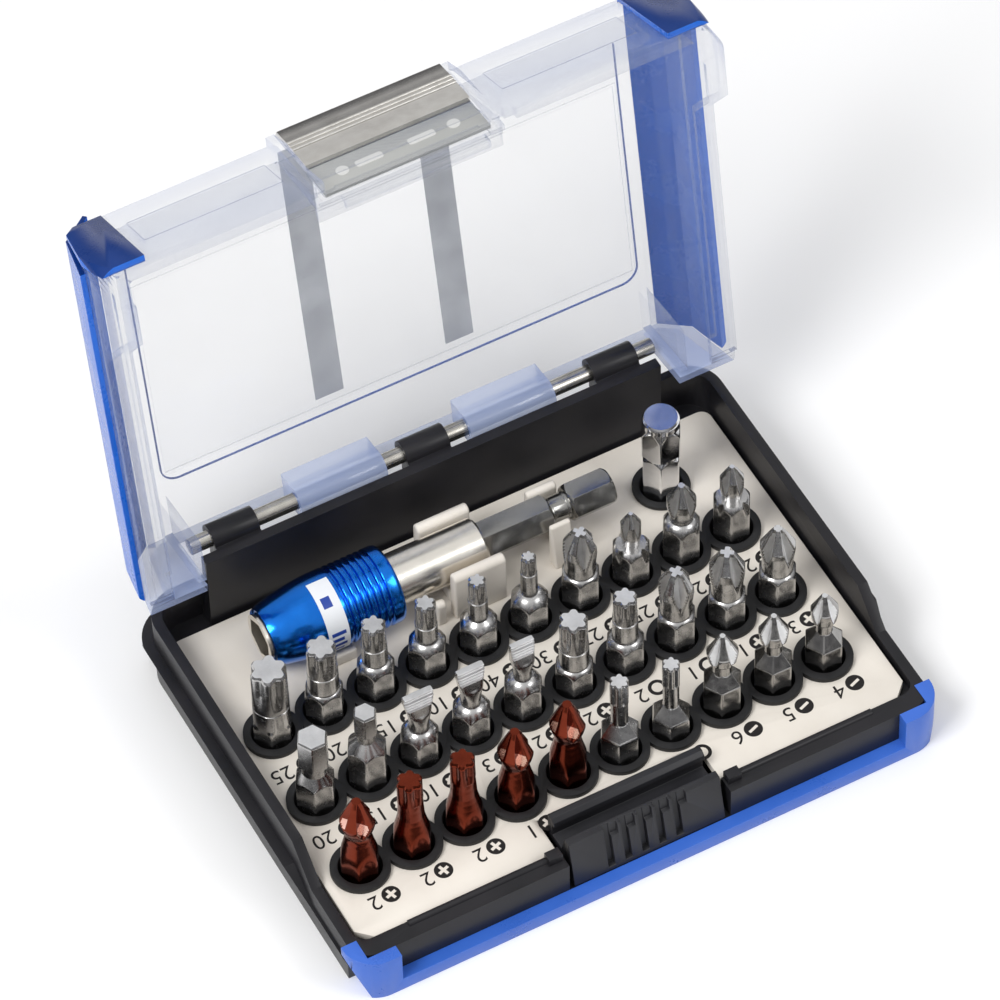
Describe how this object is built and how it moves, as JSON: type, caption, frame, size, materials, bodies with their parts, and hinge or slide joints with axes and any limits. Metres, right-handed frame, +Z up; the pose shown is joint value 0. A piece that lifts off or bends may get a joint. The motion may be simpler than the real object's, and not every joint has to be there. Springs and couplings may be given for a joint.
{
  "type": "precision screwdriver set",
  "caption": "Pocket case with a hinged clear lid that holds screwdriver bits upright in rows of sockets, with a sprung quick-change bit holder.",
  "frame": {"origin": "centre of the underside of the case", "axes": "+X to the right along the rows of bits, +Y towards the hinge, +Z up"},
  "size_m": [0.1154, 0.1023, 0.1059],
  "materials": {
    "case_black": "satin moulded",
    "case_blue": "smooth moulded",
    "tray_cream": "fine matt",
    "socket_rubber": "matt",
    "rod_steel": "drawn",
    "catch_black": "satin",
    "spring_steel": "drawn",
    "lid_clear": "clear moulded",
    "lid_blue": "smooth moulded",
    "latch_steel": "brushed",
    "latch_frosted": "frosted",
    "band_grey": "frosted",
    "body_steel": "turned",
    "shank_dark": "ground",
    "sleeve_blue": "anodised",
    "label_white": "printed",
    "magnet": "sintered",
    "bit_steel": "phosphated satin",
    "bit_copper": "tempered brown"
  },
  "bodies": {
    "case": {"base_shell": "case_black", "front_bumper": "case_blue", "bit_tray": "tray_cream", "holder_clips": "tray_cream", "socket_strip_back": "socket_rubber", "socket_strip_middle": "socket_rubber", "socket_strip_front": "socket_rubber", "adapter_collar": "socket_rubber", "hinge_rod": "rod_steel", "catch_spring": "spring_steel"},
    "lid": {"lid_shell": "lid_clear", "lid_bumper_left": "lid_blue", "lid_bumper_right": "lid_blue", "latch_plate": "latch_steel", "latch_insert": "latch_frosted", "lid_bands": "band_grey"},
    "catch": {"release_catch": "catch_black"},
    "holder": {"holder_body": "body_steel", "holder_shank": "shank_dark", "retaining_ring": "spring_steel", "sleeve_spring": "spring_steel", "lock_balls": "body_steel", "holder_magnet": "magnet"},
    "sleeve": {"holder_sleeve": "sleeve_blue", "sleeve_label": "label_white"},
    "adapter": {"square_adapter": "bit_steel"},
    "bit_body_b01": {"bit_b01": "bit_steel"},
    "bit_body_b02": {"bit_b02": "bit_steel"},
    "bit_body_b03": {"bit_b03": "bit_steel"},
    "bit_body_b04": {"bit_b04": "bit_steel"},
    "bit_body_b05": {"bit_b05": "bit_steel"},
    "bit_body_b06": {"bit_b06": "bit_steel"},
    "bit_body_b07": {"bit_b07": "bit_steel"},
    "bit_body_b08": {"bit_b08": "bit_steel"},
    "bit_body_b09": {"bit_b09": "bit_steel"},
    "bit_body_b10": {"bit_b10": "bit_steel"},
    "bit_body_m01": {"bit_m01": "bit_steel"},
    "bit_body_m02": {"bit_m02": "bit_steel"},
    "bit_body_m03": {"bit_m03": "bit_steel"},
    "bit_body_m04": {"bit_m04": "bit_steel"},
    "bit_body_m05": {"bit_m05": "bit_steel"},
    "bit_body_m06": {"bit_m06": "bit_steel"},
    "bit_body_m07": {"bit_m07": "bit_steel"},
    "bit_body_m08": {"bit_m08": "bit_steel"},
    "bit_body_m09": {"bit_m09": "bit_steel"},
    "bit_body_m10": {"bit_m10": "bit_steel"},
    "bit_body_f01": {"bit_f01": "bit_copper"},
    "bit_body_f02": {"bit_f02": "bit_copper"},
    "bit_body_f03": {"bit_f03": "bit_copper"},
    "bit_body_f04": {"bit_f04": "bit_copper"},
    "bit_body_f05": {"bit_f05": "bit_copper"},
    "bit_body_f06": {"bit_f06": "bit_steel"},
    "bit_body_f07": {"bit_f07": "bit_steel"},
    "bit_body_f08": {"bit_f08": "bit_steel"},
    "bit_body_f09": {"bit_f09": "bit_steel"},
    "bit_body_f10": {"bit_f10": "bit_steel"}
  },
  "joints": [
    {"name": "lid_hinge", "type": "hinge", "parent": "case", "child": "lid", "pos_m": [0, 0.0406, 0.0252], "axis": [-1, 0, 0], "range_deg": [-98.7, 0]},
    {"name": "catch_press", "type": "slide", "parent": "case", "child": "catch", "axis": [0, 1, 0], "range_m": [0, 0.0012], "stiffness_N_per_m": 600, "springref_m": -0.0015, "deforming": ["catch_spring"]},
    {"name": "sleeve_pull", "type": "slide", "parent": "holder", "child": "sleeve", "axis": [1, 0, 0], "range_m": [0, 0.0025], "stiffness_N_per_m": 500, "springref_m": -0.002, "deforming": ["sleeve_spring"]},
    {"name": "holder_lift", "type": "slide", "parent": "case", "child": "holder", "axis": [0, 0, 1], "range_m": [0, 0.02]},
    {"name": "adapter_lift", "type": "slide", "parent": "case", "child": "adapter", "axis": [0, 0, 1], "range_m": [0, 0.012]},
    {"name": "lift_b01", "type": "slide", "parent": "case", "child": "bit_body_b01", "axis": [0, 0, 1], "range_m": [0, 0.012]},
    {"name": "lift_b02", "type": "slide", "parent": "case", "child": "bit_body_b02", "axis": [0, 0, 1], "range_m": [0, 0.012]},
    {"name": "lift_b03", "type": "slide", "parent": "case", "child": "bit_body_b03", "axis": [0, 0, 1], "range_m": [0, 0.012]},
    {"name": "lift_b04", "type": "slide", "parent": "case", "child": "bit_body_b04", "axis": [0, 0, 1], "range_m": [0, 0.012]},
    {"name": "lift_b05", "type": "slide", "parent": "case", "child": "bit_body_b05", "axis": [0, 0, 1], "range_m": [0, 0.012]},
    {"name": "lift_b06", "type": "slide", "parent": "case", "child": "bit_body_b06", "axis": [0, 0, 1], "range_m": [0, 0.012]},
    {"name": "lift_b07", "type": "slide", "parent": "case", "child": "bit_body_b07", "axis": [0, 0, 1], "range_m": [0, 0.012]},
    {"name": "lift_b08", "type": "slide", "parent": "case", "child": "bit_body_b08", "axis": [0, 0, 1], "range_m": [0, 0.012]},
    {"name": "lift_b09", "type": "slide", "parent": "case", "child": "bit_body_b09", "axis": [0, 0, 1], "range_m": [0, 0.012]},
    {"name": "lift_b10", "type": "slide", "parent": "case", "child": "bit_body_b10", "axis": [0, 0, 1], "range_m": [0, 0.012]},
    {"name": "lift_m01", "type": "slide", "parent": "case", "child": "bit_body_m01", "axis": [0, 0, 1], "range_m": [0, 0.012]},
    {"name": "lift_m02", "type": "slide", "parent": "case", "child": "bit_body_m02", "axis": [0, 0, 1], "range_m": [0, 0.012]},
    {"name": "lift_m03", "type": "slide", "parent": "case", "child": "bit_body_m03", "axis": [0, 0, 1], "range_m": [0, 0.012]},
    {"name": "lift_m04", "type": "slide", "parent": "case", "child": "bit_body_m04", "axis": [0, 0, 1], "range_m": [0, 0.012]},
    {"name": "lift_m05", "type": "slide", "parent": "case", "child": "bit_body_m05", "axis": [0, 0, 1], "range_m": [0, 0.012]},
    {"name": "lift_m06", "type": "slide", "parent": "case", "child": "bit_body_m06", "axis": [0, 0, 1], "range_m": [0, 0.012]},
    {"name": "lift_m07", "type": "slide", "parent": "case", "child": "bit_body_m07", "axis": [0, 0, 1], "range_m": [0, 0.012]},
    {"name": "lift_m08", "type": "slide", "parent": "case", "child": "bit_body_m08", "axis": [0, 0, 1], "range_m": [0, 0.012]},
    {"name": "lift_m09", "type": "slide", "parent": "case", "child": "bit_body_m09", "axis": [0, 0, 1], "range_m": [0, 0.012]},
    {"name": "lift_m10", "type": "slide", "parent": "case", "child": "bit_body_m10", "axis": [0, 0, 1], "range_m": [0, 0.012]},
    {"name": "lift_f01", "type": "slide", "parent": "case", "child": "bit_body_f01", "axis": [0, 0, 1], "range_m": [0, 0.012]},
    {"name": "lift_f02", "type": "slide", "parent": "case", "child": "bit_body_f02", "axis": [0, 0, 1], "range_m": [0, 0.012]},
    {"name": "lift_f03", "type": "slide", "parent": "case", "child": "bit_body_f03", "axis": [0, 0, 1], "range_m": [0, 0.012]},
    {"name": "lift_f04", "type": "slide", "parent": "case", "child": "bit_body_f04", "axis": [0, 0, 1], "range_m": [0, 0.012]},
    {"name": "lift_f05", "type": "slide", "parent": "case", "child": "bit_body_f05", "axis": [0, 0, 1], "range_m": [0, 0.012]},
    {"name": "lift_f06", "type": "slide", "parent": "case", "child": "bit_body_f06", "axis": [0, 0, 1], "range_m": [0, 0.012]},
    {"name": "lift_f07", "type": "slide", "parent": "case", "child": "bit_body_f07", "axis": [0, 0, 1], "range_m": [0, 0.012]},
    {"name": "lift_f08", "type": "slide", "parent": "case", "child": "bit_body_f08", "axis": [0, 0, 1], "range_m": [0, 0.012]},
    {"name": "lift_f09", "type": "slide", "parent": "case", "child": "bit_body_f09", "axis": [0, 0, 1], "range_m": [0, 0.012]},
    {"name": "lift_f10", "type": "slide", "parent": "case", "child": "bit_body_f10", "axis": [0, 0, 1], "range_m": [0, 0.012]}
  ]
}
